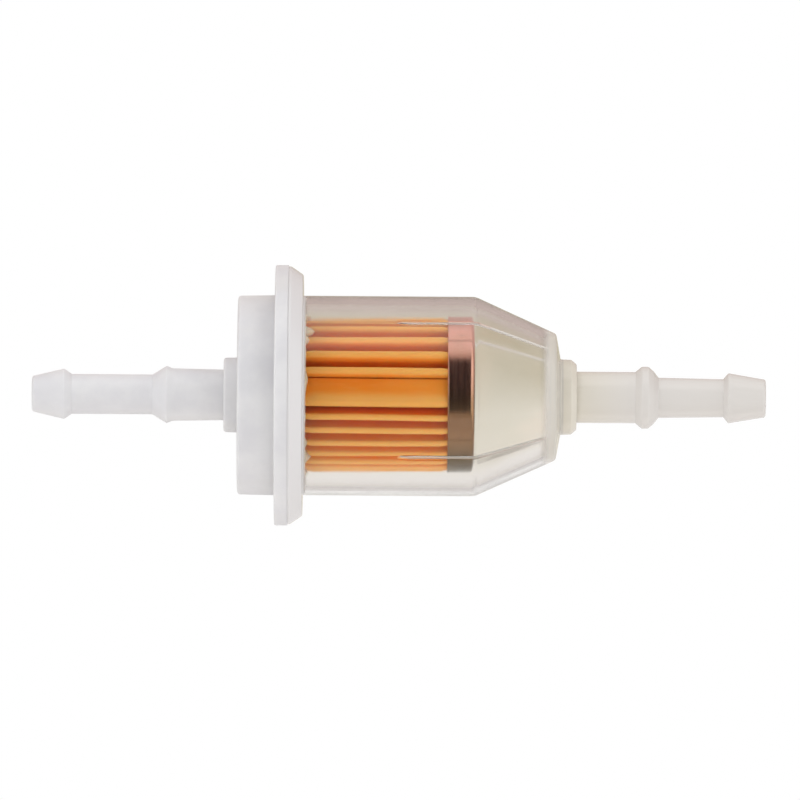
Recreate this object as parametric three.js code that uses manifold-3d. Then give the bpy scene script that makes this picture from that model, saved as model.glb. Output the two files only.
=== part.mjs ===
// An inline fuel filter for small engines: a white nylon lid and a clear nylon bowl, each moulded with a
// stepped hose nozzle, welded together at their flanges around a pleated paper element.
//
// Millimetres. The filter's axis is X, and its origin is the middle of its length. Fuel enters by the
// bowl's nozzle at +X, passes through the paper from outside to inside, and leaves by the lid's nozzle
// at -X. The outlines below are [x, radius] corners measured from the joint between the two flanges,
// with the lid on its negative side and the bowl on its positive side.

import * as THREE from "three";
import { mergeVertices } from "three/addons/utils/BufferGeometryUtils.js";
import Module from "manifold-3d";

// Driving dimensions ---------------------------------------------------------------------------------

// Gaps between pieces that are separate until they are welded or glued.
const jointGap = 0.3; // between the two flanges
const spigotClearance = 0.25; // radial, lid spigot in the bowl's mouth
const glueGap = 0.3; // round each bead of adhesive
const bondGap = 0.15; // each side of the thin adhesive in the paper's seam
const pleatClearance = 0.2; // radial, pleats in the end cap
const coreClearance = 0.3; // radial, support core over the lid's collar
const coreToPleats = 0.6; // radial, between the core and the pleats round it

// Nozzles. Each has a large neck for an 8 mm hose at its root and a small neck for a 6 mm hose beyond.
// A barb's back faces the root and its front faces the tip.
const lidNozzle = {
  largeNeckRadius: 3.98,
  largeNeckLength: 8.1,
  stepBackLength: 0.8,
  stepCrestRadius: 4.45,
  stepFrontLength: 2.4,
  smallNeckRadius: 3.07,
  smallNeckLength: 12.4,
  barbBackLength: 1.2,
  barbCrestRadius: 3.9,
  barbFrontLength: 5.0,
  tipRadius: 2.7,
  crestRounding: 0.3,
};
const bowlNozzle = {
  largeNeckRadius: 3.96,
  largeNeckLength: 9.2,
  stepBackLength: 1.4,
  stepCrestRadius: 4.85,
  stepFrontLength: 2.45,
  smallNeckRadius: 3.0,
  smallNeckLength: 9.75,
  barbBackLength: 0.9,
  barbCrestRadius: 3.9,
  barbFrontLength: 5.8,
  tipRadius: 2.95,
  crestRounding: 0.9,
};
const tipRounding = 0.4;
const boreTipRadius = 1.75; // the bores taper, wider towards the filter's middle
const boreRootRadius = 2.3;

// Lid
const lidHubRadius = 5.8;
const lidHubHeight = 2.2;
const cupHeight = 5.8;
const cupWall = 2.5;
const lidPlate = 2.2; // thickness of the cup's end
const lidFlangeThickness = 1.9;
const lidFlangeProud = 0.1; // past the bowl's flange
const collarWall = 1.1; // keeps adhesive out of the outlet
const collarRadius = 5.5;
const collarProud = 0.8; // how far the collar stands above the adhesive
const spigotLength = 2.15; // past the joint, into the bowl
const spigotWall = 1.0;
const lidEdgeRounding = 0.4;
const flangeEdgeRounding = 0.3; // on the lid's flange and on the bowl's edge beside the joint

// Bowl
const bowlFlangeWidth = 4.65; // how far it stands out from the body
const bowlFlangeThickness = 2.15;
const bowlFlangeRounding = 1.6;
const bodyRadius = 15.55;
const bodyLength = 26.85;
const bodyWall = 1.3;
const coneLength = 12.6;
const coneEndRadius = 9.85;
const crownHeight = 0.7; // the end wall rises this much from the cone to the hub
const endWall = 1.2;
const bowlHubRadius = 5.9;
const bowlHubHeight = 2.5;
const hubChamfer = 0.8;
const boreMouthRadius = 3.3;
const shoulderRounding = 1.5;
const coneEndRounding = 0.8;

// Low ribs inside the bowl, which stiffen its wall from beside the element to the end of the cone
const ribCount = 4;
const ribTurn = THREE.MathUtils.degToRad(5); // how far the ribs are turned from the diagonals
const ribThickness = 0.5;
const ribHeight = 0.4;
const ribLead = 8.0; // from the ribs' start to the end cap's lip
const ribRamp = 2.0;

// Element
const paperThickness = 0.45;
const elementSideGap = 1.4; // between the pleats and the lid's well, for adhesive
const foldGap = 0.1; // between the two legs inside a ridge
const valleyWidth = 0.3;
const valleySpacing = 0.15; // between neighbouring folds at the inside, where they are tightest
const pleatBunching = 0.125; // the pleats are this share tighter beside the seam's ridge
const seamRidgeAngle = THREE.MathUtils.degToRad(-6.3); // angles run up from the side at -Y
const lastRidgeAngle = THREE.MathUtils.degToRad(18.6);
const flapEndAngle = THREE.MathUtils.degToRad(13.5);
const flapDip = 1.3; // the outer flap slants inwards by this much at its free end
const seamBeadThickness = 0.3;
const seamBeadStart = 0.1; // shares of the flap's width, from its free end
const seamBeadEnd = 0.85;
const innerFlapEnd = 0.92;
const pottingFloor = 1.2;
const pottingProud = 0.3; // how far the adhesive stands above the lid's spigot

// Support core, a moulded cage inside the paper
const coreWall = 0.8;
const coreWindowRows = 6;
const coreWindowWidth = 6.6;
const coreRingWidth = 1.2;
const coreEndBand = 1.5; // solid band beside the adhesive at each end

// End cap, a drawn steel cup
const capWall = 0.3;
const capDepth = 4.35;
const capEdgeRadius = 1.0;
const capLipFlare = 0.15;
const capLipLength = 0.4;
const capPastShoulder = 0.05; // the cap's closed end reaches just past the start of the bowl's cone
const capPottingThickness = 1.0;

// Fineness of the round surfaces
const sidesRound = 36;
const stepsPerRounding = 3;

// Radii that follow from the dimensions above --------------------------------------------------------------

const bodyInnerRadius = bodyRadius - bodyWall;
const bowlFlangeRadius = bodyRadius + bowlFlangeWidth;
const lidFlangeRadius = bowlFlangeRadius + lidFlangeProud;
const spigotRadius = bodyInnerRadius - spigotClearance;
const wellRadius = spigotRadius - spigotWall; // the well that the element is glued into
const cupRadius = wellRadius + cupWall;
const coreRadius = collarRadius + coreClearance + coreWall;
const pleatInnerRadius = coreRadius + coreToPleats;
const pleatRadius = wellRadius - elementSideGap;
const capRadius = pleatRadius + pleatClearance + capWall;

// Stations along the axis, from the joint ----------------------------------------------------------------

const lidFace = -jointGap / 2;
const lidFlangeBack = lidFace - lidFlangeThickness;
const cupEnd = lidFlangeBack - cupHeight;
const lidHubEnd = cupEnd - lidHubHeight;
const wellFloor = cupEnd + lidPlate;
const lidTip = lidHubEnd - nozzleLength(lidNozzle);
const pottingSurface = spigotLength + pottingProud;
const collarEnd = pottingSurface + collarProud;

const bowlFace = jointGap / 2;
const bodyStart = bowlFace + bowlFlangeThickness;
const bodyEnd = bodyStart + bodyLength;
const coneEnd = bodyEnd + coneLength;
const crownEnd = coneEnd + crownHeight;
const bowlHubEnd = crownEnd + bowlHubHeight;
const bowlTip = bowlHubEnd + nozzleLength(bowlNozzle);

const coneSlope = (bodyRadius - coneEndRadius) / coneLength;
const coneAngle = Math.atan(coneSlope);
const innerConeStart = bodyEnd - bodyWall * Math.tan(coneAngle / 2);
const innerConeEnd = coneEnd - endWall;

const capFace = bodyEnd + capPastShoulder;
const capOpening = capFace - capDepth;
const capPottingStart = capFace - capWall - glueGap - capPottingThickness;
const paperStart = wellFloor + 2 * glueGap + pottingFloor;
const paperEnd = capPottingStart - glueGap;

// Shaping helpers ----------------------------------------------------------------------------------------

const wasm = await Module();
wasm.setup();

// A closed three.js geometry as a solid that can be joined and cut.
function solidOf(geometry) {
  const bare = geometry.clone();
  bare.deleteAttribute("normal");
  bare.deleteAttribute("uv");
  const merged = mergeVertices(bare);
  return new wasm.Manifold(
    new wasm.Mesh({
      numProp: 3,
      vertProperties: merged.attributes.position.array,
      triVerts: new Uint32Array(merged.index.array),
    }),
  );
}

function geometryOf(solid) {
  const { vertProperties, triVerts } = solid.getMesh();
  const geometry = new THREE.BufferGeometry();
  geometry.setAttribute("position", new THREE.BufferAttribute(vertProperties, 3));
  geometry.setIndex(new THREE.BufferAttribute(triVerts, 1));
  const faceted = geometry.toNonIndexed();
  faceted.computeVertexNormals();
  return faceted;
}

// The outline with each corner that has a third value, its rounding, replaced by an arc.
function rounded(corners) {
  const points = [];
  corners.forEach(([x, radius, rounding], i) => {
    const corner = new THREE.Vector2(x, radius);
    if (!rounding) {
      points.push(corner);
      return;
    }
    const before = new THREE.Vector2(...corners[i - 1].slice(0, 2)).sub(corner);
    const after = new THREE.Vector2(...corners[i + 1].slice(0, 2)).sub(corner);
    const halfAngle = Math.acos(before.dot(after) / (before.length() * after.length())) / 2;
    const setback = rounding / Math.tan(halfAngle);
    const start = before.setLength(setback).add(corner);
    const end = after.setLength(setback).add(corner);
    const towardsCentre = start.clone().add(end).divideScalar(2).sub(corner);
    const centre = towardsCentre.setLength(rounding / Math.sin(halfAngle)).add(corner);
    const startAngle = start.clone().sub(centre).angle();
    const sweep = Math.PI - 2 * halfAngle;
    const turn = Math.sign(start.clone().sub(centre).cross(end.clone().sub(centre)));
    for (let step = 0; step <= stepsPerRounding; step++) {
      const angle = startAngle + (turn * sweep * step) / stepsPerRounding;
      const spoke = new THREE.Vector2(Math.cos(angle), Math.sin(angle)).multiplyScalar(rounding);
      points.push(spoke.add(centre));
    }
  });
  return points;
}

// Turns an outline about the filter's axis. It runs clockwise: along the outside towards +X and back
// along the inside. It starts and ends on the axis, or else this closes it.
function turned(corners) {
  const outline = rounded(corners).map(({ x, y }) => new THREE.Vector2(y, x));
  const startsOnAxis = outline[0].x === 0;
  if (!startsOnAxis) outline.push(outline[0].clone());
  const geometry = new THREE.LatheGeometry(outline, sidesRound);
  return geometry.rotateZ(-Math.PI / 2);
}

// A point of a section across the axis, for ExtrudeGeometry and alongAxis.
function sectionPoint(radius, angle) {
  return new THREE.Vector2(-radius * Math.sin(angle), -radius * Math.cos(angle));
}

// Extrudes a section across the axis between two stations.
function alongAxis(points, start, end) {
  const depth = end - start;
  const geometry = new THREE.ExtrudeGeometry(new THREE.Shape(points), { depth, bevelEnabled: false });
  return geometry.rotateY(Math.PI / 2).translate(start, 0, 0);
}

function nozzleLength(nozzle) {
  return (
    nozzle.largeNeckLength +
    nozzle.stepBackLength +
    nozzle.stepFrontLength +
    nozzle.smallNeckLength +
    nozzle.barbBackLength +
    nozzle.barbFrontLength
  );
}

// A nozzle's outside from its root to its tip, as [distance from the hub, radius, rounding].
function nozzleOutline(nozzle) {
  const stepBack = nozzle.largeNeckLength;
  const stepCrest = stepBack + nozzle.stepBackLength;
  const smallNeckStart = stepCrest + nozzle.stepFrontLength;
  const barbBack = smallNeckStart + nozzle.smallNeckLength;
  const barbCrest = barbBack + nozzle.barbBackLength;
  const tip = barbCrest + nozzle.barbFrontLength;
  return [
    [0, nozzle.largeNeckRadius],
    [stepBack, nozzle.largeNeckRadius],
    [stepCrest, nozzle.stepCrestRadius, nozzle.crestRounding],
    [smallNeckStart, nozzle.smallNeckRadius],
    [barbBack, nozzle.smallNeckRadius],
    [barbCrest, nozzle.barbCrestRadius, nozzle.crestRounding],
    [tip, nozzle.tipRadius, tipRounding],
  ];
}

// Sub-parts ----------------------------------------------------------------------------------------------

// White nylon lid: outlet nozzle, hub, cup, flange and spigot outside; the element's well, the collar
// round the outlet and the bore inside.
function makeLid() {
  const nozzle = nozzleOutline(lidNozzle).map(([distance, radius, rounding]) => [
    lidHubEnd - distance,
    radius,
    rounding,
  ]);
  return turned([
    [lidTip, boreTipRadius],
    ...nozzle.reverse(),
    [lidHubEnd, lidHubRadius, lidEdgeRounding],
    [cupEnd, lidHubRadius],
    [cupEnd, cupRadius, lidEdgeRounding],
    [lidFlangeBack, cupRadius],
    [lidFlangeBack, lidFlangeRadius, flangeEdgeRounding],
    [lidFace, lidFlangeRadius, flangeEdgeRounding],
    [lidFace, spigotRadius],
    [spigotLength, spigotRadius],
    [spigotLength, wellRadius],
    [wellFloor, wellRadius],
    [wellFloor, collarRadius],
    [collarEnd, collarRadius],
    [collarEnd, collarRadius - collarWall],
    [cupEnd, collarRadius - collarWall],
    [lidHubEnd, boreRootRadius],
  ]);
}

// The inside of the bowl's cone at a station along the axis.
function innerConeRadius(x) {
  return bodyInnerRadius - coneSlope * (x - innerConeStart);
}

// Clear nylon bowl: flange, cylindrical body, cone, hub and inlet nozzle, with ribs moulded inside.
function makeBowl() {
  const nozzle = nozzleOutline(bowlNozzle).map(([distance, radius, rounding]) => [
    bowlHubEnd + distance,
    radius,
    rounding,
  ]);
  const shell = turned([
    [bowlFace, bodyInnerRadius],
    [bowlFace, bowlFlangeRadius, flangeEdgeRounding],
    [bodyStart, bowlFlangeRadius, bowlFlangeRounding],
    [bodyStart, bodyRadius],
    [bodyEnd, bodyRadius, shoulderRounding],
    [coneEnd, coneEndRadius, coneEndRounding],
    [crownEnd, bowlHubRadius],
    [bowlHubEnd - hubChamfer, bowlHubRadius],
    [bowlHubEnd, bowlHubRadius - hubChamfer],
    ...nozzle,
    [bowlTip, boreTipRadius],
    [bowlHubEnd, boreRootRadius],
    [crownEnd - endWall, boreMouthRadius],
    [innerConeEnd, innerConeRadius(innerConeEnd)],
    [innerConeStart, bodyInnerRadius],
  ]);
  let bowl = solidOf(shell);
  for (let i = 0; i < ribCount; i++) {
    const angle = ((i + 0.5) / ribCount) * 2 * Math.PI - ribTurn;
    bowl = bowl.add(solidOf(makeRib().rotateX(angle)));
  }
  return geometryOf(bowl);
}

// One rib, standing in the plane of X and Z, with its outer edge buried in the middle of the wall.
function makeRib() {
  const ribStart = capOpening - ribLead;
  const buriedRadius = bodyInnerRadius + bodyWall / 2;
  const buriedEnd = innerConeEnd + endWall / 2;
  const outline = [
    [ribStart, buriedRadius],
    [ribStart, bodyInnerRadius],
    [ribStart + ribRamp, bodyInnerRadius - ribHeight],
    [innerConeStart, bodyInnerRadius - ribHeight],
    [buriedEnd, innerConeRadius(buriedEnd) - ribHeight],
    [buriedEnd, innerConeRadius(buriedEnd) + bodyWall / 2],
    [innerConeStart, buriedRadius],
  ].map(([x, radius]) => new THREE.Vector2(x, radius));
  const depth = ribThickness;
  const rib = new THREE.ExtrudeGeometry(new THREE.Shape(outline), { depth, bevelEnabled: false });
  return rib.translate(0, 0, -depth / 2).rotateX(Math.PI / 2);
}

// The straight line across the axis that the seam's flaps lie along, at a depth below the outer flap's
// face, as a function from a share of the outer flap's width to a point.
function seamChord(depth) {
  const freeEnd = sectionPoint(pleatRadius - flapDip - depth, flapEndAngle);
  const ridge = sectionPoint(pleatRadius - depth, seamRidgeAngle);
  return (share) => freeEnd.clone().lerp(ridge, share);
}

// Pleated paper: one strip folded into ridges and valleys. It starts as the seam's outer flap, runs
// round the element, and ends as the inner flap under the first.
function makePaper() {
  const ridgeInsideHalf = foldGap / 2 / pleatRadius;
  const ridgeHalf = ridgeInsideHalf + paperThickness / pleatRadius;
  const valleyHalf = valleyWidth / 2 / pleatInnerRadius;
  const valleyInsideHalf = valleyHalf + paperThickness / pleatInnerRadius;
  const tightestPitch = 2 * valleyInsideHalf + valleySpacing / pleatInnerRadius;
  const turn = seamRidgeAngle + 2 * Math.PI - lastRidgeAngle;
  const pitchCount = Math.floor(((1 - pleatBunching) * turn) / tightestPitch);
  const foldAngle = (i) => {
    const share = i / pitchCount;
    const bunched = share - (pleatBunching / Math.PI) * Math.sin(Math.PI * share);
    return seamRidgeAngle - turn * bunched;
  };
  const outside = [];
  const inside = [];
  for (let i = 0; i <= pitchCount; i++) {
    const ridge = foldAngle(i);
    const valley = foldAngle(i + 0.5);
    for (const side of [1, -1]) {
      outside.push(sectionPoint(pleatRadius, ridge + side * ridgeHalf));
      inside.push(sectionPoint(pleatRadius - paperThickness, ridge + side * ridgeInsideHalf));
    }
    if (i === pitchCount) break;
    for (const side of [1, -1]) {
      outside.push(sectionPoint(pleatInnerRadius + paperThickness, valley + side * valleyHalf));
      inside.push(sectionPoint(pleatInnerRadius, valley + side * valleyInsideHalf));
    }
  }
  const innerFlapDepth = paperThickness + 2 * bondGap + seamBeadThickness;
  const innerFlap = seamChord(innerFlapDepth);
  const innerFlapInside = seamChord(innerFlapDepth + paperThickness);
  const innerFlapRoot = pleatRadius - flapDip - innerFlapDepth;
  const innerFlapBend = (flapEndAngle + lastRidgeAngle - ridgeHalf) / 2;
  const legThickness = paperThickness / pleatRadius;
  return alongAxis(
    [
      seamChord(0)(0),
      ...outside,
      sectionPoint(innerFlapRoot, innerFlapBend),
      innerFlap(innerFlapEnd),
      innerFlapInside(innerFlapEnd),
      sectionPoint(innerFlapRoot - paperThickness, innerFlapBend + legThickness),
      ...inside.reverse(),
      seamChord(paperThickness)(0),
    ],
    paperStart,
    paperEnd,
  );
}

// The bead that bonds the paper's two flaps along the seam.
function makeSeamAdhesive() {
  const top = seamChord(paperThickness + bondGap);
  const bottom = seamChord(paperThickness + bondGap + seamBeadThickness);
  const bead = [top(seamBeadStart), top(seamBeadEnd), bottom(seamBeadEnd), bottom(seamBeadStart)];
  return alongAxis(bead, paperStart, paperEnd);
}

// Cast adhesive in the lid's well, under the element and round its outside.
function makeLidPotting() {
  const outer = wellRadius - glueGap;
  const inner = pleatRadius + glueGap;
  const bottom = wellFloor + glueGap;
  return turned([
    [bottom, collarRadius + glueGap],
    [bottom, outer],
    [pottingSurface, outer],
    [pottingSurface, inner],
    [bottom + pottingFloor, inner],
    [bottom + pottingFloor, collarRadius + glueGap],
  ]);
}

// Disc of adhesive in the bottom of the end cap.
function makeCapPotting() {
  const radius = capRadius - capWall - glueGap;
  return turned([
    [capPottingStart, 0],
    [capPottingStart, radius],
    [capPottingStart + capPottingThickness, radius, capEdgeRadius - capWall],
    [capPottingStart + capPottingThickness, 0],
  ]);
}

// End cap: a shallow steel cup with a rounded edge and a slightly flared lip.
function makeEndCap() {
  const inside = capRadius - capWall;
  const flareStart = capOpening + capLipLength;
  return turned([
    [capFace - capWall, 0],
    [capFace - capWall, inside, capEdgeRadius - capWall],
    [flareStart, inside],
    [capOpening, inside + capLipFlare],
    [capOpening, capRadius + capLipFlare],
    [flareStart, capRadius],
    [capFace, capRadius, capEdgeRadius],
    [capFace, 0],
  ]);
}

// Support core: a tube over the lid's collar, with rows of windows between its rings.
function makeCore() {
  const innerRadius = coreRadius - coreWall;
  let core = solidOf(
    turned([
      [paperStart, innerRadius],
      [paperStart, coreRadius],
      [paperEnd, coreRadius],
      [paperEnd, innerRadius],
    ]),
  );
  const windowsStart = collarEnd + coreEndBand;
  const windowsEnd = paperEnd - coreEndBand;
  const rowPitch = (windowsEnd - windowsStart + coreRingWidth) / coreWindowRows;
  const windowLength = rowPitch - coreRingWidth;
  const cutterReach = 3 * coreRadius;
  for (let row = 0; row < coreWindowRows; row++) {
    const middle = windowsStart + row * rowPitch + windowLength / 2;
    for (const angle of [0, Math.PI / 2]) {
      const cutter = new THREE.BoxGeometry(windowLength, cutterReach, coreWindowWidth);
      core = core.subtract(solidOf(cutter.rotateX(angle).translate(middle, 0, 0)));
    }
  }
  return geometryOf(core);
}

// Materials ----------------------------------------------------------------------------------------------

function plastic(color, opacity = 1) {
  const transparent = opacity < 1;
  return new THREE.MeshStandardMaterial({ color, roughness: 0.35, metalness: 0, opacity, transparent });
}

const whiteNylon = () => plastic(0xe0e0e2);
const clearNylon = () => plastic(0xe6ded0, 0.4);
const adhesive = () => new THREE.MeshStandardMaterial({ color: 0xe8dcc0, roughness: 0.5 });
const pleatedPaper = () => new THREE.MeshStandardMaterial({ color: 0xe0904a, roughness: 0.85 });
const platedSteel = () => new THREE.MeshStandardMaterial({ color: 0xa88a58, roughness: 0.3, metalness: 1 });

// The filter ---------------------------------------------------------------------------------------------

const filter = new THREE.Group();
filter.position.x = -(lidTip + bowlTip) / 2;

function addPiece(name, geometry, material) {
  const mesh = new THREE.Mesh(geometry, material);
  mesh.name = name;
  filter.add(mesh);
}

addPiece("lid", makeLid(), whiteNylon());
addPiece("bowl", makeBowl(), clearNylon());
addPiece("pleated_paper", makePaper(), pleatedPaper());
addPiece("seam_adhesive", makeSeamAdhesive(), adhesive());
addPiece("lid_potting", makeLidPotting(), adhesive());
addPiece("end_cap_potting", makeCapPotting(), adhesive());
addPiece("support_core", makeCore(), whiteNylon());
addPiece("end_cap", makeEndCap(), platedSteel());

export default filter;
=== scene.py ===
import cmath
import math
import random

import bmesh
import bpy
from mathutils import Matrix, Vector


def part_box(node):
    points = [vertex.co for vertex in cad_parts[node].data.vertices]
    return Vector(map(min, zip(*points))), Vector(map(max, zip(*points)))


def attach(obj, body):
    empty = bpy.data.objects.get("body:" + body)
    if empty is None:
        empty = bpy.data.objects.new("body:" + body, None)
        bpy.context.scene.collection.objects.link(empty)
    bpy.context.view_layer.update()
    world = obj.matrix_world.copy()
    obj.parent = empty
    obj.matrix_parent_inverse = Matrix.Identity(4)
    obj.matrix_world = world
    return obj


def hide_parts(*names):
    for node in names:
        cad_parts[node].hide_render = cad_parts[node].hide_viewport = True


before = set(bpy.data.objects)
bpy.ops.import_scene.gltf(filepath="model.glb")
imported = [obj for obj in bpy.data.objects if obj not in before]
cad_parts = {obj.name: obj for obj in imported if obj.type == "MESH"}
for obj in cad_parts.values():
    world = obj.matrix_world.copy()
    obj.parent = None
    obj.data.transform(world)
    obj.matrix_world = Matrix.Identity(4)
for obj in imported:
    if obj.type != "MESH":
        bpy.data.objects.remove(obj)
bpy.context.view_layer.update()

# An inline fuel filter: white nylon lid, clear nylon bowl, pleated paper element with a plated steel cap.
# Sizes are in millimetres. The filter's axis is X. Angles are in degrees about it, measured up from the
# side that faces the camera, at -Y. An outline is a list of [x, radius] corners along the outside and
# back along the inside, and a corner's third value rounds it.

MM = 0.001

# Stations along the axis and radii that come from the CAD model ------------------------------------------


def stations(node):
    """Where a CAD node starts and ends along the axis."""
    low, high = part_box(node)
    return low.x / MM, high.x / MM


def radius_of(node):
    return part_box(node)[1].z / MM


LID_TIP, COLLAR_END = stations("lid")
BOWL_FACE, BOWL_TIP = stations("bowl")
PAPER_START, PAPER_END = stations("pleated_paper")
CAP_OPENING, CAP_FACE = stations("end_cap")
POTTING_START, POTTING_SURFACE = stations("lid_potting")
LID_FLANGE_RADIUS = radius_of("lid")
CAP_LIP_RADIUS = radius_of("end_cap")

# Sizes that the CAD model shares -------------------------------------------------------------------------

JOINT_GAP = 0.3
JOINT = BOWL_FACE - JOINT_GAP / 2  # where the two flanges meet
SPIGOT_END = JOINT + 2.15
SPIGOT_RADIUS = 14.0
WELL_RADIUS = 13.0
WELL_FLOOR = JOINT - 5.65
CUP_END = JOINT - 7.85
CUP_RADIUS = 15.5
LID_HUB_END = JOINT - 10.05
LID_HUB_RADIUS = 5.8
LID_FLANGE_BACK = JOINT - 2.05
COLLAR_RADIUS = 5.5
COLLAR_WALL = 1.1
BORE_TIP_RADIUS = 1.75
BORE_ROOT_RADIUS = 2.3

BOWL_FLANGE_RADIUS = 20.1
BODY_START = JOINT + 2.3
BODY_END = BODY_START + 26.85
BODY_RADIUS = 15.55
BODY_WALL = 1.3
CONE_END = BODY_END + 12.6
CONE_END_RADIUS = 9.85
CROWN_END = CONE_END + 0.7
BOWL_HUB_END = CROWN_END + 2.5
BOWL_HUB_RADIUS = 5.9
HUB_CHAMFER = 0.8
END_WALL = 1.2
BORE_MOUTH_RADIUS = 3.3

RIB_ANGLES = [50, 140, 230, 320]
RIB_THICKNESS = 0.7
RIB_HEIGHT = 0.2
RIB_START = CAP_OPENING - 8.0
RIB_RAMP = 2.0

PAPER_THICKNESS = 0.45
FOLD_HALF_WIDTH = 0.275  # middle of the paper, from a ridge's own middle
VALLEY_HALF_WIDTH = 0.375
RIDGE_COUNT = 28
SEAM_RIDGE_ANGLE = -6.3
LAST_RIDGE_ANGLE = 18.6
FLAP_END_ANGLE = 13.5
FLAP_DIP = 1.3
BUNCHING = 0.125  # the pleats are this share tighter beside the seam's ridge
CAP_WALL = 0.3
LEAN = 0.3  # the element sits this much high at its free end

# Finer sizes ---------------------------------------------------------------------------------------------

WELD_GAP = 0.01
LID_FLANGE_ROUNDING = 0.25
WELD_EDGE_ROUNDING = 0.03
FINE_ROUNDING = 0.2  # at edges and inner corners
INNER_CORNER_ROUNDING = 0.15
LID_HUB_ROUNDING = 0.4
CUP_ROUNDING = 0.5
LID_HUB_DRAFT = 0.05
CUP_DRAFT = 0.1

BOWL_FLANGE_EDGE = 0.4  # its outer edge's straight part, before the slope
BOWL_FLANGE_SLOPE = 1.3
FLANGE_EDGE_ROUNDING = 0.35
FLANGE_BACK_ROUNDING = 0.5
SHOULDER_ROUNDING = 2.5
INNER_SHOULDER_ROUNDING = 1.2
INNER_SHOULDER_STEP = 0.3  # how far before the body's end the inside turns
INNER_END_ROUNDING = 0.3
CONE_END_ROUNDING = 0.8
BOWL_HUB_DRAFT = 0.08
HUB_CHAMFER_ROUNDING = 0.3

PARTING_LINE_HEIGHT = 0.035
PARTING_LINE_WIDTH = 0.1
BORE_MARGIN = 0.1  # what is no further out than this from the bore has no parting line

PLEAT_OUTER_RADIUS = 11.95
PLEAT_TUCKED_RADIUS = 11.45
PLEAT_INNER_RADIUS = 7.2
RIDGE_ROUNDING = 0.26
VALLEY_ROUNDING = 0.3
FLAP_BEND_ROUNDING = 0.2
FLAP_GAP = 0.6  # between the seam's two flaps
BEAD_START_DEPTH = 0.15  # the seam's bead, below the outer flap
BEAD_END_DEPTH = 0.45
BEAD_ROUNDING = 0.12

CAP_FLARE = 0.15
CAP_LIP_LENGTH = 0.45
CAP_LIP_ROUNDING = 0.1
CAP_EDGE_ROUNDING = 1.0
CAP_DOME_HEIGHT = 0.35
CAP_DOME_STEPS = 10

POTTING_WALL_GAP = 0.02
POTTING_COLLAR_GAP = 0.3

ARC_STEPS = 6
COLUMNS = 180
MERGE_DISTANCE = 1e-7  # metres
PLEAT_SEED = 7
POTTING_SEED = 11

# A nozzle's outside as [distance from the hub, radius, rounding], from its root to its tip.
LID_NOZZLE = [
    [0, 3.91],
    [7.5, 4.05],
    [8.1, 4.1],
    [8.9, 4.45, 0.3],
    [11.1, 3.07],
    [23.7, 3.07],
    [24.9, 3.9, 0.3],
    [29.9, 2.7, 0.4],
]
BOWL_NOZZLE = [
    [0, 3.96],
    [9.2, 3.96],
    [10.2, 4.8, 0.5],
    [11.2, 4.8, 0.5],
    [12.0, 4.1, 0.3],
    [12.8, 3.1],
    [22.9, 2.93],
    [23.7, 3.88, 0.3],
    [28.65, 3.03],
    [29.5, 2.93, 0.4],
]


# Shaping -------------------------------------------------------------------------------------------------


def rounded(corners, steps=ARC_STEPS):
    """The corners as complex numbers, with an arc at each that has a third value, its radius."""
    points = []
    for i, (x, radius, *rounding) in enumerate(corners):
        corner = complex(x, radius)
        if not rounding:
            points.append(corner)
            continue
        before = complex(*corners[i - 1][:2]) - corner
        after = complex(*corners[(i + 1) % len(corners)][:2]) - corner
        before /= abs(before)
        after /= abs(after)
        half = abs(cmath.phase(after / before)) / 2
        start = corner + before * rounding[0] / math.tan(half)
        end = corner + after * rounding[0] / math.tan(half)
        inwards = (before + after) / abs(before + after)
        centre = corner + inwards * rounding[0] / math.sin(half)
        turn = cmath.phase((end - centre) / (start - centre))
        for step in range(steps + 1):
            points.append(centre + (start - centre) * cmath.exp(1j * turn * step / steps))
    return points


def at(x, section):
    """The place of a point of a cross-section. Its angle is the complex number's angle."""
    return Vector((x, -section.real, section.imag)) * MM


def element_middle(x):
    """How far up the element's middle is at x, as a step across the axis."""
    return 1j * LEAN * (x - PAPER_START) / (PAPER_END - PAPER_START)


def polar(radius, degrees):
    return cmath.rect(radius, math.radians(degrees))


def lattice(name, rows, wrap_rows=False, wrap_columns=False):
    """An object through a grid of points."""
    width = len(rows[0])
    faces = []
    for i in range(len(rows) - (not wrap_rows)):
        for j in range(width - (not wrap_columns)):
            here, there = i * width, (i + 1) % len(rows) * width
            right = (j + 1) % width
            faces.append((here + j, there + j, there + right, here + right))
    mesh = bpy.data.meshes.new(name)
    mesh.from_pydata([point for row in rows for point in row], [], faces)
    made = bpy.data.objects.new(name, mesh)
    bpy.context.scene.collection.objects.link(made)
    return made


def finish_mesh(made, sharp_degrees=22):
    """Merges the points on the axis, turns the faces outwards and smooths what is round."""
    build = bmesh.new()
    build.from_mesh(made.data)
    bmesh.ops.remove_doubles(build, verts=build.verts, dist=MERGE_DISTANCE)
    bmesh.ops.recalc_face_normals(build, faces=build.faces)
    build.to_mesh(made.data)
    build.free()
    made.data.shade_smooth()
    made.data.set_sharp_from_angle(angle=math.radians(sharp_degrees))
    weighted = made.modifiers.new("even_shading", "WEIGHTED_NORMAL")
    weighted.keep_sharp = True


def turned(name, outline, swell=lambda x, radius, degrees: 0, middle=lambda x: 0, closed=True):
    """Turns an outline about the axis. swell is added to its radius, and middle moves its middle."""
    columns = []
    for column in range(COLUMNS):
        degrees = 360 * column / COLUMNS
        points = []
        for p in outline:
            radius = p.imag + swell(p.real, p.imag, degrees)
            points.append(at(p.real, middle(p.real) + polar(radius, degrees)))
        columns.append(points)
    made = lattice(name, columns, wrap_rows=True, wrap_columns=closed)
    finish_mesh(made)
    return made


def belongs(made, node, material):
    """made stands for a CAD node, which it hides, and takes the given material as its finish."""
    made.data.materials.append(material)
    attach(made, "root")
    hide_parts(node)


# Pieces --------------------------------------------------------------------------------------------------


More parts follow.
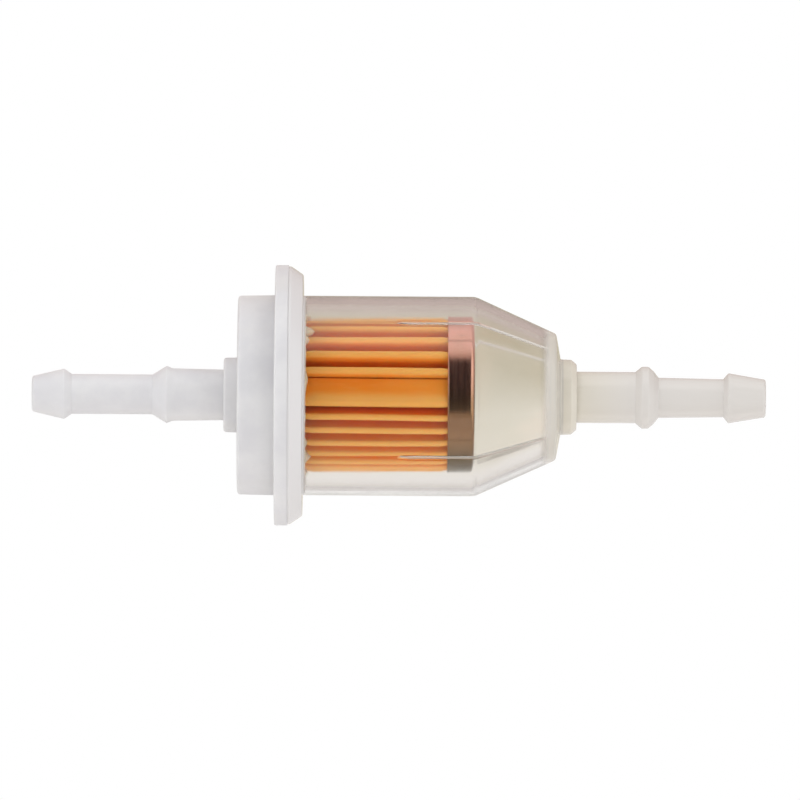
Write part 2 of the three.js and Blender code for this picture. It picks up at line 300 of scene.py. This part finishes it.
def parting_line(x, radius, degrees):
    """The fine raised line along the top and bottom of both nozzles."""
    if LID_HUB_END < x < BOWL_HUB_END or radius < BORE_ROOT_RADIUS + BORE_MARGIN:
        return 0
    aside = radius * math.cos(math.radians(degrees))
    return PARTING_LINE_HEIGHT * math.exp(-((aside / PARTING_LINE_WIDTH) ** 2))


def make_lid(material):
    nozzle = [[LID_HUB_END - distance, *rest] for distance, *rest in reversed(LID_NOZZLE)]
    outline = [
        [LID_TIP, BORE_TIP_RADIUS],
        *nozzle,
        [LID_HUB_END, LID_HUB_RADIUS, LID_HUB_ROUNDING],
        [CUP_END, LID_HUB_RADIUS + LID_HUB_DRAFT, INNER_CORNER_ROUNDING],
        [CUP_END, CUP_RADIUS, CUP_ROUNDING],
        [LID_FLANGE_BACK, CUP_RADIUS + CUP_DRAFT, INNER_CORNER_ROUNDING],
        [LID_FLANGE_BACK, LID_FLANGE_RADIUS, LID_FLANGE_ROUNDING],
        [JOINT - WELD_GAP / 2, LID_FLANGE_RADIUS, WELD_EDGE_ROUNDING],
        [JOINT - WELD_GAP / 2, SPIGOT_RADIUS],
        [SPIGOT_END, SPIGOT_RADIUS, FINE_ROUNDING],
        [SPIGOT_END, WELL_RADIUS, FINE_ROUNDING],
        [WELL_FLOOR, WELL_RADIUS],
        [WELL_FLOOR, COLLAR_RADIUS],
        [COLLAR_END, COLLAR_RADIUS, FINE_ROUNDING],
        [COLLAR_END, COLLAR_RADIUS - COLLAR_WALL, FINE_ROUNDING],
        [CUP_END, COLLAR_RADIUS - COLLAR_WALL],
        [LID_HUB_END, BORE_ROOT_RADIUS],
    ]
    lid = turned("lid_shell", rounded(outline), parting_line)
    belongs(lid, "lid", material)


def inner_cone_radius(x):
    slope = (BODY_RADIUS - CONE_END_RADIUS) / (CONE_END - BODY_END)
    return BODY_RADIUS - BODY_WALL - slope * (x - BODY_END + BODY_WALL * math.tan(math.atan(slope) / 2))


def bowl_inside(height):
    """The bowl's inside, from its end wall to its mouth, where a rib stands as high as height."""
    bare = BODY_RADIUS - BODY_WALL
    end = CONE_END - END_WALL
    return [
        [end, inner_cone_radius(end) - height, INNER_END_ROUNDING],
        [BODY_END - INNER_SHOULDER_STEP, bare - height, INNER_SHOULDER_ROUNDING],
        [RIB_START + RIB_RAMP, bare - height],
        [RIB_START, bare],
    ]


def bowl_outline(rib_height):
    nozzle = [[BOWL_HUB_END + distance, *rest] for distance, *rest in BOWL_NOZZLE]
    joint = JOINT + WELD_GAP / 2
    return rounded(
        [
            [joint, BODY_RADIUS - BODY_WALL],
            [joint, BOWL_FLANGE_RADIUS, WELD_EDGE_ROUNDING],
            [joint + BOWL_FLANGE_EDGE, BOWL_FLANGE_RADIUS, FLANGE_EDGE_ROUNDING],
            [BODY_START, BOWL_FLANGE_RADIUS - BOWL_FLANGE_SLOPE, FLANGE_BACK_ROUNDING],
            [BODY_START, BODY_RADIUS, FINE_ROUNDING],
            [BODY_END, BODY_RADIUS, SHOULDER_ROUNDING],
            [CONE_END, CONE_END_RADIUS, CONE_END_ROUNDING],
            [CROWN_END, BOWL_HUB_RADIUS, FINE_ROUNDING],
            [BOWL_HUB_END - HUB_CHAMFER, BOWL_HUB_RADIUS - BOWL_HUB_DRAFT, HUB_CHAMFER_ROUNDING],
            [BOWL_HUB_END, BOWL_HUB_RADIUS - HUB_CHAMFER, FINE_ROUNDING],
            *nozzle,
            [BOWL_TIP, BORE_TIP_RADIUS],
            [BOWL_HUB_END, BORE_ROOT_RADIUS],
            [CROWN_END - END_WALL, BORE_MOUTH_RADIUS],
            *bowl_inside(rib_height),
        ]
    )


def make_bowl(material):
    rounding = [0, 0.35, 0.85, 1, 0.85, 0.35]  # across a rib, as shares of its height
    half_rib = math.degrees(RIB_THICKNESS / 2 / (BODY_RADIUS - BODY_WALL))
    rib_step = 2 * half_rib / len(rounding)
    bare_columns = COLUMNS // len(RIB_ANGLES)
    bare_turn = 360 / len(RIB_ANGLES) - 2 * half_rib
    columns = []
    for rib in RIB_ANGLES:
        for step, share in enumerate(rounding):
            columns.append((rib - half_rib + rib_step * step, share * RIB_HEIGHT))
        for step in range(bare_columns):
            columns.append((rib + half_rib + bare_turn * step / bare_columns, 0))
    rows = []
    for degrees, rib_height in columns:
        row = []
        for p in bowl_outline(rib_height):
            radius = p.imag + parting_line(p.real, p.imag, degrees)
            row.append(at(p.real, polar(radius, degrees)))
        rows.append(row)
    bowl = lattice("bowl_shell", rows, wrap_rows=True, wrap_columns=True)
    finish_mesh(bowl)
    belongs(bowl, "bowl", material)


class Pleats:
    """The folded paper's shape at any station: where its ridges are and how far out they stand."""

    # How folds stray from their even places, in degrees. The ripple's last two are in radians.
    TWIST = -2.0  # of the whole element, from end to end
    LEANING = 0.9
    BOWING = 0.45
    RIPPLE = 0.15
    RIPPLE_TURN = 9
    RIPPLE_SHIFT = 3
    VALLEY_STRAY = 0.5
    FLAP_BEND_SHIFT = 0.5
    REACH = (-0.12, 0.08)  # how much further in or out a ridge stands, in millimetres

    def __init__(self):
        draw = random.Random(PLEAT_SEED)
        self.sway = [[draw.uniform(-1, 1) for wave in range(3)] for fold in range(2 * RIDGE_COUNT)]
        self.reach = [draw.uniform(*self.REACH) for ridge in range(RIDGE_COUNT)]

    def share(self, x):
        return (x - PAPER_START) / (PAPER_END - PAPER_START)

    def aside(self, fold, x):
        """How many degrees a fold strays at x, on top of the whole element's slight twist."""
        lean, bow, ripple = self.sway[fold]
        along = self.share(x)
        twist = self.TWIST * (along - 0.5)
        stray = self.LEANING * lean * (along - 0.5) + self.BOWING * bow * math.sin(math.pi * along)
        wave = math.sin(self.RIPPLE_TURN * along + self.RIPPLE_SHIFT * bow)
        return twist + stray + self.RIPPLE * ripple * wave

    def ridge_radius(self, ridge, x):
        """The ridges stand out between the cap and the adhesive, and tuck in under both."""
        cap_run, adhesive_run, out_already = 1.2, 2.5, 0.4
        into_cap = (CAP_OPENING + cap_run / 2 - x) / cap_run
        out_of_adhesive = (x - POTTING_SURFACE) / adhesive_run + out_already
        open_share = max(0, min(1, into_cap, out_of_adhesive))
        eased = open_share * open_share * (3 - 2 * open_share)
        run_out = PLEAT_OUTER_RADIUS - PLEAT_TUCKED_RADIUS + self.reach[ridge]
        return PLEAT_TUCKED_RADIUS + run_out * eased

    def ridge_angle(self, ridge, x):
        share = ridge / (RIDGE_COUNT - 1)
        turn = SEAM_RIDGE_ANGLE + 360 - LAST_RIDGE_ANGLE
        bunched = share - BUNCHING / math.pi * math.sin(math.pi * share)
        return SEAM_RIDGE_ANGLE - turn * bunched + self.aside(2 * ridge, x)

    def seam_chord(self, depth, x):
        """The line that the seam's flaps lie along at x, from the outer flap's free end to its ridge."""
        radius = self.ridge_radius(0, x) - depth
        free_end = polar(radius - FLAP_DIP, FLAP_END_ANGLE + self.aside(0, x))
        ridge = polar(radius, self.ridge_angle(0, x))
        return lambda share: free_end + (ridge - free_end) * share

    def middle(self, x):
        """The middle of the paper's thickness across the element at x, from flap to flap."""
        half = PAPER_THICKNESS / 2
        inner_radius = PLEAT_INNER_RADIUS + half
        corners = [self.seam_chord(half, x)(0)]
        roundings = [0]
        for ridge in range(RIDGE_COUNT):
            radius = self.ridge_radius(ridge, x) - half
            degrees = self.ridge_angle(ridge, x)
            for side in (1, -1):
                corners.append(polar(radius, degrees + side * math.degrees(FOLD_HALF_WIDTH / radius)))
                roundings.append(RIDGE_ROUNDING)
            if ridge == RIDGE_COUNT - 1:
                break
            halfway = (degrees + self.ridge_angle(ridge + 1, x)) / 2
            valley = halfway + self.VALLEY_STRAY * self.sway[2 * ridge + 1][0]
            for side in (1, -1):
                aside = side * math.degrees(VALLEY_HALF_WIDTH / inner_radius)
                corners.append(polar(inner_radius, valley + aside))
                roundings.append(VALLEY_ROUNDING)
        depth = half + PAPER_THICKNESS + FLAP_GAP
        under = self.seam_chord(depth, x)
        inner_flap_end = 0.92  # as a share of the way to the outer flap's ridge
        bend = (FLAP_END_ANGLE + LAST_RIDGE_ANGLE) / 2 - self.FLAP_BEND_SHIFT + self.aside(0, x)
        corners += [polar(abs(under(0)), bend), under(inner_flap_end)]
        roundings += [FLAP_BEND_ROUNDING, 0]
        return rounded(
            [[c.real, c.imag, r] if r else [c.real, c.imag] for c, r in zip(corners, roundings)],
            steps=4,
        )


def paper_stations(count=36):
    return [PAPER_START + (PAPER_END - PAPER_START) * i / count for i in range(count + 1)]


def make_paper(pleats, material):
    rows = []
    for x in paper_stations():
        rows.append([at(x, point + element_middle(x)) for point in pleats.middle(x)])
    paper = lattice("paper_pleats", rows)
    finish_mesh(paper, sharp_degrees=60)
    thicken = paper.modifiers.new("thickness", "SOLIDIFY")
    thicken.thickness = PAPER_THICKNESS * MM
    thicken.offset = 0
    thicken.use_even_offset = True
    paper.modifiers.move(1, 0)
    belongs(paper, "pleated_paper", material)


def make_seam_bead(pleats, material):
    start, end = 0.1, 0.85  # as shares of the way from the outer flap's free end to its ridge
    rows = []
    for x in paper_stations():
        top = pleats.seam_chord(PAPER_THICKNESS + BEAD_START_DEPTH, x)
        bottom = pleats.seam_chord(PAPER_THICKNESS + BEAD_END_DEPTH, x)
        corners = [top(start), top(end), bottom(end), bottom(start)]
        points = rounded([[c.real, c.imag, BEAD_ROUNDING] for c in corners], steps=3)
        rows.append([at(x, point + element_middle(x)) for point in points])
    # Each end closes to a point in the middle of its section.
    for last in (0, -1):
        middle = sum(rows[last], Vector()) / len(rows[last])
        rows.insert(len(rows) if last else 0, [middle.copy() for point in rows[last]])
    bead = lattice("seam_bead", rows, wrap_columns=True)
    finish_mesh(bead, sharp_degrees=60)
    belongs(bead, "seam_adhesive", material)


def make_potting(material):
    """Adhesive in the lid's well, with the uneven beads that climb out between the pleats."""
    draw = random.Random(POTTING_SEED)
    # [angle, height, half width in degrees] of the larger beads
    beads = [[53, 1.7, 3], [44, 0.8, 2.5], [-36, 0.5, 3], [-50, 0.8, 3], [12, 0.3, 5], [-15, 0.25, 4]]
    for angle in range(80, 300, 17):
        beads.append([angle, draw.uniform(0.2, 1.0), draw.uniform(2, 6)])

    least = 0.3
    waves = [[0.12, 5], [0.08, 13]]  # [height, how many round the rim]

    def climb(degrees):
        angle = math.radians(degrees)
        height = least + sum(size * math.sin(count * angle) for size, count in waves)
        for centre, rise, half_width in beads:
            away = (degrees - centre + 180) % 360 - 180
            height += rise * math.exp(-((away / half_width) ** 2))
        return height

    inner = 11.3
    outer = WELL_RADIUS - POTTING_WALL_GAP
    hole = COLLAR_RADIUS + POTTING_COLLAR_GAP
    # The rim's section from the paper out to the wall, as [radius, share of its height]
    surface = [[inner, 0.45], [inner + 0.25, 0.75], [12.1, 0.9], [12.45, 0.75], [12.75, 0.35], [outer, 0.1]]
    rim_foot = POTTING_SURFACE - 0.25
    rim_height = 0.3
    floor = POTTING_START + 1.2
    rows = []
    for column in range(2 * COLUMNS):
        degrees = 180 * column / COLUMNS
        row = [at(POTTING_START, polar(hole, degrees))]
        row.append(at(POTTING_START, polar(outer, degrees)))
        for radius, share in reversed(surface):
            lift = max(0, climb(degrees)) * share
            row.append(at(rim_foot + rim_height * share + lift, polar(radius, degrees)))
        row.append(at(floor, polar(inner, degrees)))
        row.append(at(floor, polar(hole, degrees)))
        rows.append(row)
    potting = lattice("lid_adhesive", rows, wrap_rows=True, wrap_columns=True)
    finish_mesh(potting, sharp_degrees=50)
    belongs(potting, "lid_potting", material)


def make_cap(material):
    """Drawn cup with a slightly domed end, a rounded edge and a flared lip."""
    radius = CAP_LIP_RADIUS - CAP_FLARE

    def dome(wall):
        rim = radius - CAP_EDGE_ROUNDING
        middle = []
        for step in range(1, CAP_DOME_STEPS + 1):
            share = 1 - step / CAP_DOME_STEPS
            middle.append([CAP_FACE - wall + CAP_DOME_HEIGHT * (1 - share**2), rim * share])
        return middle

    outline = [
        *reversed(dome(CAP_WALL)),
        [CAP_FACE - CAP_WALL, radius - CAP_WALL, CAP_EDGE_ROUNDING - CAP_WALL],
        [CAP_OPENING + CAP_LIP_LENGTH, radius - CAP_WALL],
        [CAP_OPENING, CAP_LIP_RADIUS - CAP_WALL, CAP_LIP_ROUNDING],
        [CAP_OPENING, CAP_LIP_RADIUS, CAP_LIP_ROUNDING],
        [CAP_OPENING + CAP_LIP_LENGTH, radius],
        [CAP_FACE, radius, CAP_EDGE_ROUNDING],
        *dome(0),
    ]
    cap = turned("steel_cap", rounded(outline), middle=element_middle, closed=False)
    belongs(cap, "end_cap", material)


# Materials -----------------------------------------------------------------------------------------------


class Tree:
    """Adds nodes to a material or a world. An input that is given a socket is linked to it."""

    def __init__(self, owner):
        owner.use_nodes = True
        self.nodes = owner.node_tree.nodes
        self.links = owner.node_tree.links

    def add(self, kind, inputs=None, **settings):
        node = self.nodes.new("ShaderNode" + kind)
        for name, value in settings.items():
            setattr(node, name, value)
        self.set(node, inputs or {})
        return node

    def set(self, node, inputs):
        for name, value in inputs.items():
            if isinstance(value, bpy.types.NodeSocket):
                self.links.new(value, node.inputs[name])
            else:
                node.inputs[name].default_value = value

    def place(self):
        """Where the surface is on the object, in metres."""
        return self.add("TexCoord").outputs["Object"]

    def stretched(self, scale):
        return self.add("Mapping", {"Vector": self.place(), "Scale": scale}).outputs["Vector"]

    def noise(self, scale, detail=4, roughness=0.5, vector=None):
        place = vector or self.place()
        inputs = {"Vector": place, "Scale": scale, "Detail": detail, "Roughness": roughness}
        return self.add("TexNoise", inputs).outputs["Fac"]

    def math(self, operation, a, b=0.0):
        return self.add("Math", {0: a, 1: b}, operation=operation).outputs[0]

    def span(self, value, start, end, low=0.0, high=1.0):
        """value's place between start and end, smoothed, as a number from low to high."""
        inputs = {"Value": value, "From Min": start, "From Max": end, "To Min": low, "To Max": high}
        return self.add("MapRange", inputs, interpolation_type="SMOOTHSTEP").outputs["Result"]

    def mix(self, share, a, b):
        inputs = {0: share, 6: a, 7: b}
        return self.add("Mix", inputs, data_type="RGBA").outputs[2]

    def bump(self, height, strength, distance, normal=None):
        inputs = {"Height": height, "Strength": strength, "Distance": distance}
        if normal:
            inputs["Normal"] = normal
        return self.add("Bump", inputs).outputs["Normal"]

    def along(self):
        """The place along the filter's axis, in millimetres."""
        split = self.add("SeparateXYZ", {"Vector": self.place()})
        return self.math("MULTIPLY", split.outputs["X"], 1 / MM)

    def out_from_axis(self):
        """The distance from the filter's axis, in millimetres."""
        across = self.add("VectorMath", {0: self.place(), 1: (0, 1, 1)}, operation="MULTIPLY").outputs[0]
        length = self.add("VectorMath", {0: across}, operation="LENGTH").outputs["Value"]
        return self.math("MULTIPLY", length, 1 / MM)


def colour(red, green, blue):
    return (red, green, blue, 1)


def new_material(name):
    material = bpy.data.materials.new(name)
    tree = Tree(material)
    return material, tree, tree.nodes["Principled BSDF"]


def white_nylon():
    """White with faint clouds and streaks of the moulding, and a fine grain."""
    material, tree, shader = new_material("white_nylon")
    clouds = tree.noise(140, detail=5, roughness=0.6)
    flow = tree.noise(60, detail=3, vector=tree.stretched((0.4, 2, 2)))
    grain = tree.noise(2600, detail=2)
    shaded, pale, streak = colour(0.64, 0.64, 0.655), colour(0.69, 0.69, 0.695), colour(0.65, 0.63, 0.59)
    tint = tree.mix(tree.span(clouds, 0.35, 0.65), shaded, pale)
    tint = tree.mix(tree.span(flow, 0.45, 0.7, 0, 0.25), tint, streak)
    normal = tree.bump(grain, 0.12, 0.00002)
    tree.set(
        shader,
        {
            "Base Color": tint,
            "Roughness": tree.span(clouds, 0.3, 0.7, 0.34, 0.46),
            "Subsurface Weight": 0.35,
            "Subsurface Radius": (1.0, 1.0, 0.95),
            "Subsurface Scale": 0.0015,
            "IOR": 1.53,
            "Normal": tree.bump(clouds, 0.15, 0.00008, normal),
        },
    )
    return material


def clear_nylon():
    """Clear in the thin body and cone, milky in the thick flange, crown, hub and nozzle and in the ribs."""
    material, tree, shader = new_material("clear_nylon")
    x = tree.along()
    slope = (BODY_RADIUS - CONE_END_RADIUS) / (CONE_END - BODY_END)
    cone_inside = tree.math("SUBTRACT", inner_cone_radius(0), tree.math("MULTIPLY", x, slope))
    inside = tree.math("MINIMUM", cone_inside, BODY_RADIUS - BODY_WALL)
    rib_height = tree.math("SUBTRACT", inside, tree.out_from_axis())
    rib_strength = tree.span(x, BODY_START, RIB_START, 0, 0.5)
    ribs = tree.math("MULTIPLY", tree.span(rib_height, 0.02, 0.1), rib_strength)
    flange = tree.span(x, BODY_START + 0.6, BODY_START + 0.1)
    crown = tree.span(x, CONE_END - 2.4, CONE_END - 0.6, 0, 0.75)
    nozzle = tree.span(x, CROWN_END - 0.2, CROWN_END + 0.6)
    milk = tree.math("MAXIMUM", tree.math("MAXIMUM", ribs, flange), tree.math("MAXIMUM", crown, nozzle))
    clouds = tree.noise(160, detail=4, roughness=0.6)
    ripples = tree.noise(110, detail=2, vector=tree.stretched((0.5, 1.5, 1.5)))
    hazy, bright = colour(0.97, 0.965, 0.94), colour(0.99, 0.985, 0.97)
    clear = tree.mix(tree.span(clouds, 0.35, 0.65), hazy, bright)
    milky_run = 14
    to_the_tip = tree.span(x, CONE_END, CONE_END + milky_run)
    thick, thin, at_flange = colour(0.70, 0.66, 0.565), colour(0.69, 0.665, 0.63), colour(0.715, 0.705, 0.705)
    milky = tree.mix(to_the_tip, thick, thin)
    milky = tree.mix(flange, milky, at_flange)
    tree.set(
        shader,
        {
            "Base Color": tree.mix(milk, clear, milky),
            "Roughness": tree.span(clouds, 0.3, 0.7, 0.05, 0.11),
            "Transmission Weight": tree.math("SUBTRACT", 1.0, tree.math("MULTIPLY", milk, 0.92)),
            "IOR": 1.53,
            "Normal": tree.bump(ripples, 0.25, 0.00006),
        },
    )
    # The lamps' light goes through the clear walls, and the milky parts stop it.
    through = tree.add("BsdfTransparent", {"Color": colour(0.98, 0.97, 0.96)})
    is_shadow = tree.add("LightPath").outputs["Is Shadow Ray"]
    open_share = tree.math("MULTIPLY", is_shadow, tree.math("SUBTRACT", 1.0, milk))
    surface = tree.add("MixShader", {0: open_share, 1: shader.outputs["BSDF"], 2: through.outputs["BSDF"]})
    tree.links.new(surface.outputs["Shader"], tree.nodes["Material Output"].inputs["Surface"])
    return material


def filter_paper():
    """Resin-treated paper: fibres, blotches of resin, and paler ridges, partly from wear and partly a painted
    highlight.
    """
    material, tree, shader = new_material("filter_paper")
    fibres = tree.noise(900, detail=5, roughness=0.7, vector=tree.stretched((0.35, 1, 1)))
    blotches = tree.noise(120, detail=4, roughness=0.6, vector=tree.stretched((0.3, 1, 1)))
    deep, orange = colour(1.0, 0.31, 0.03), colour(1.0, 0.39, 0.055)
    fibre, wear_and_painted_highlight = colour(0.99, 0.46, 0.11), colour(1.0, 0.54, 0.15)
    tint = tree.mix(tree.span(blotches, 0.35, 0.65), deep, orange)
    tint = tree.mix(tree.span(fibres, 0.45, 0.75, 0, 0.35), tint, fibre)
    # Paler further out from the axis: the ridges get partly wear and partly a painted highlight.
    ridges = tree.span(tree.out_from_axis(), 11.0, 11.75, 0, 0.8)
    tint = tree.mix(ridges, tint, wear_and_painted_highlight)
    height = tree.math("ADD", fibres, tree.math("MULTIPLY", blotches, 0.6))
    tree.set(
        shader,
        {
            "Base Color": tint,
            "Roughness": tree.span(fibres, 0.3, 0.7, 0.65, 0.9),
            "Specular IOR Level": 0.2,
            "Subsurface Weight": 0.4,
            "Subsurface Radius": (1.0, 0.5, 0.2),
            "Subsurface Scale": 0.0005,
            "Normal": tree.bump(height, 0.35, 0.00006),
        },
    )
    return material


def adhesive():
    """Cream cast resin, a little yellower in places, with small bubbles near its surface."""
    material, tree, shader = new_material("adhesive")
    clouds = tree.noise(220, detail=4)
    bubbles = tree.add("TexVoronoi", {"Vector": tree.place(), "Scale": 1100.0}).outputs["Distance"]
    yellowed, cream, bubble = colour(0.80, 0.70, 0.50), colour(0.88, 0.81, 0.66), colour(0.62, 0.48, 0.28)
    tint = tree.mix(tree.span(clouds, 0.35, 0.65), yellowed, cream)
    tint = tree.mix(tree.span(bubbles, 0.25, 0.05, 0, 0.4), tint, bubble)
    tree.set(
        shader,
        {
            "Base Color": tint,
            "Roughness": tree.span(clouds, 0.3, 0.7, 0.3, 0.5),
            "Subsurface Weight": 0.2,
            "Subsurface Scale": 0.001,
            "Normal": tree.bump(bubbles, 0.2, 0.00008),
        },
    )
    return material


def core_nylon():
    """Off-white and nearly matt."""
    material, tree, shader = new_material("core_nylon")
    clouds = tree.noise(200, detail=4)
    grain = tree.noise(2400, detail=2)
    shaded, pale = colour(0.70, 0.70, 0.67), colour(0.76, 0.76, 0.74)
    tint = tree.mix(tree.span(clouds, 0.35, 0.65), shaded, pale)
    tree.set(
        shader,
        {
            "Base Color": tint,
            "Roughness": tree.span(clouds, 0.3, 0.7, 0.4, 0.55),
            "Normal": tree.bump(grain, 0.15, 0.00003),
        },
    )
    return material


def plated_steel():
    """Yellow-chromate plating, with fine marks from drawing. Its tint runs by height from a pinkish top
    through bronze to a dark yellowish green below: partly the plating's own hues, partly painted light above
    and painted shade below.
    """
    material, tree, shader = new_material("plated_steel")
    clouds = tree.noise(90, detail=3, roughness=0.55)
    drawn = tree.noise(500, detail=3, vector=tree.stretched((4, 0.3, 0.3)))
    specks = tree.noise(1500, detail=2)
    split = tree.add("SeparateXYZ", {"Vector": tree.place()})
    height = tree.math("MULTIPLY", split.outputs["Z"], 1 / MM)
    shaded_olive, bronze, lit_pink = colour(0.16, 0.14, 0.08), colour(0.46, 0.27, 0.15), colour(0.90, 0.47, 0.38)
    cloud, speck = colour(0.52, 0.34, 0.19), colour(0.20, 0.14, 0.10)
    # Painted light by height: darker towards the bottom as painted shade, pale pinkish at the top as a
    # painted highlight.
    tint = tree.mix(tree.span(height, -12, -5), shaded_olive, bronze)
    tint = tree.mix(tree.span(height, -2, 5), tint, lit_pink)
    tint = tree.mix(tree.span(clouds, 0.45, 0.7, 0, 0.3), tint, cloud)
    tint = tree.mix(tree.span(specks, 0.66, 0.78, 0, 0.5), tint, speck)
    tree.set(
        shader,
        {
            "Base Color": tint,
            "Metallic": 1.0,
            "Roughness": tree.span(drawn, 0.3, 0.7, 0.14, 0.22),
            "Normal": tree.bump(clouds, 0.05, 0.00002),
        },
    )
    return material


# Studio --------------------------------------------------------------------------------------------------


def make_world():
    """The camera sees plain white. Every other ray sees a pale ground below, a beige wall round the
    filter and a pale ceiling. In front, a ray that has bounced sees white walls at the camera's left and
    right instead, with a dark gap between them, and one that only went through the bowl doesn't."""
    world = bpy.data.worlds.new("studio")
    bpy.context.scene.world = world
    tree = Tree(world)
    way = tree.add("SeparateXYZ", {"Vector": tree.add("TexCoord").outputs["Generated"]})
    aside = tree.math("ABSOLUTE", way.outputs["X"])
    back, up = way.outputs["Y"], way.outputs["Z"]
    ground = colour(0.92, 0.90, 0.89)
    foot = colour(0.80, 0.76, 0.67)
    beige = colour(0.54, 0.485, 0.36)
    rosy_beige = colour(0.55, 0.45, 0.42)
    ceiling = colour(0.88, 0.84, 0.84)
    wall = tree.mix(tree.span(up, 0.08, 0.3), beige, rosy_beige)
    wall = tree.mix(tree.span(up, -0.04, 0.04), foot, wall)
    wall = tree.mix(tree.span(up, -0.18, -0.06), ground, wall)
    wall = tree.mix(tree.span(up, 0.80, 0.95), wall, ceiling)
    dim = colour(0.08, 0.078, 0.075)
    dark = colour(0.02, 0.018, 0.02)
    ceiling_in_front = colour(0.88, 0.85, 0.85)
    white = colour(1.2, 1.2, 1.22)
    gap = tree.mix(tree.span(up, -0.30, -0.12), dim, dark)
    gap = tree.mix(tree.span(up, 0.75, 0.90), gap, ceiling_in_front)
    front = tree.mix(tree.span(aside, 0.30, 0.50), gap, white)
    path = tree.add("LightPath").outputs
    bounces = tree.math("ADD", path["Diffuse Depth"], path["Glossy Depth"])
    bounced = tree.math("MINIMUM", bounces, 1.0)
    in_front = tree.math("MULTIPLY", bounced, tree.span(back, 0.1, -0.25))
    all_round = tree.mix(in_front, wall, front)
    shown = tree.mix(path["Is Camera Ray"], all_round, colour(1, 1, 1))
    tree.set(tree.nodes["Background"], {"Color": shown, "Strength": 1.0})


def make_softbox(name, place, width, height, power):
    """A lamp that faces the filter. It shows neither in reflections nor through the bowl."""
    lamp = bpy.data.lights.new(name, "AREA")
    lamp.shape = "RECTANGLE"
    lamp.size = width
    lamp.size_y = height
    lamp.energy = power
    softbox = bpy.data.objects.new(name, lamp)
    bpy.context.scene.collection.objects.link(softbox)
    softbox.location = place
    softbox.rotation_euler = (-Vector(place)).to_track_quat("-Z", "Y").to_euler()
    softbox.visible_glossy = False
    softbox.visible_transmission = False


def make_floor():
    """A pale round floor, below both the filter and the lamp that lights it from the front."""
    radius = 3.6
    depth = 1.8
    build = bmesh.new()
    bmesh.ops.create_circle(build, cap_ends=True, segments=96, radius=radius)
    mesh = bpy.data.meshes.new("floor")
    build.to_mesh(mesh)
    build.free()
    floor = bpy.data.objects.new("floor", mesh)
    floor.location.z = -depth
    bpy.context.scene.collection.objects.link(floor)
    material, tree, shader = new_material("floor")
    mottle = tree.noise(6, detail=3)
    shaded, pale = colour(0.80, 0.80, 0.79), colour(0.83, 0.83, 0.82)
    tint = tree.mix(tree.span(mottle, 0.3, 0.7), shaded, pale)
    tree.set(shader, {"Base Color": tint, "Roughness": 0.8})
    mesh.materials.append(material)
    floor.visible_glossy = False


def make_camera():
    """Square to the axis from far away, as in the photograph, where the filter leans by a fraction."""
    distance = 1.8
    seen_width = 0.1248
    sensor = 36
    lean_degrees = -0.39
    right, up = 0.000195, -0.00061
    camera_data = bpy.data.cameras.new("camera")
    camera_data.sensor_width = sensor
    camera_data.lens = sensor * distance / seen_width
    camera = bpy.data.objects.new("camera", camera_data)
    bpy.context.scene.collection.objects.link(camera)
    place = Matrix.Translation((right, -distance, up))
    lean = Matrix.Rotation(math.radians(lean_degrees), 4, "Y")
    level = Matrix.Rotation(math.pi / 2, 4, "X")
    camera.matrix_world = place @ lean @ level
    bpy.context.scene.camera = camera


def main():
    bpy.context.scene.view_settings.view_transform = "Standard"
    make_camera()
    make_world()
    make_floor()
    make_softbox("overhead", place=(0, -0.1, 0.95), width=1.6, height=1.3, power=7)
    make_softbox("fill", place=(0, -1.65, -0.95), width=2.0, height=0.9, power=20)
    make_lid(white_nylon())
    make_bowl(clear_nylon())
    glue = adhesive()
    pleats = Pleats()
    make_paper(pleats, filter_paper())
    make_seam_bead(pleats, glue)
    make_potting(glue)
    make_cap(plated_steel())
    carried_over = {"end_cap_potting": glue, "support_core": core_nylon()}
    for node, material in carried_over.items():
        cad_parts[node].data.materials.clear()
        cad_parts[node].data.materials.append(material)


main()
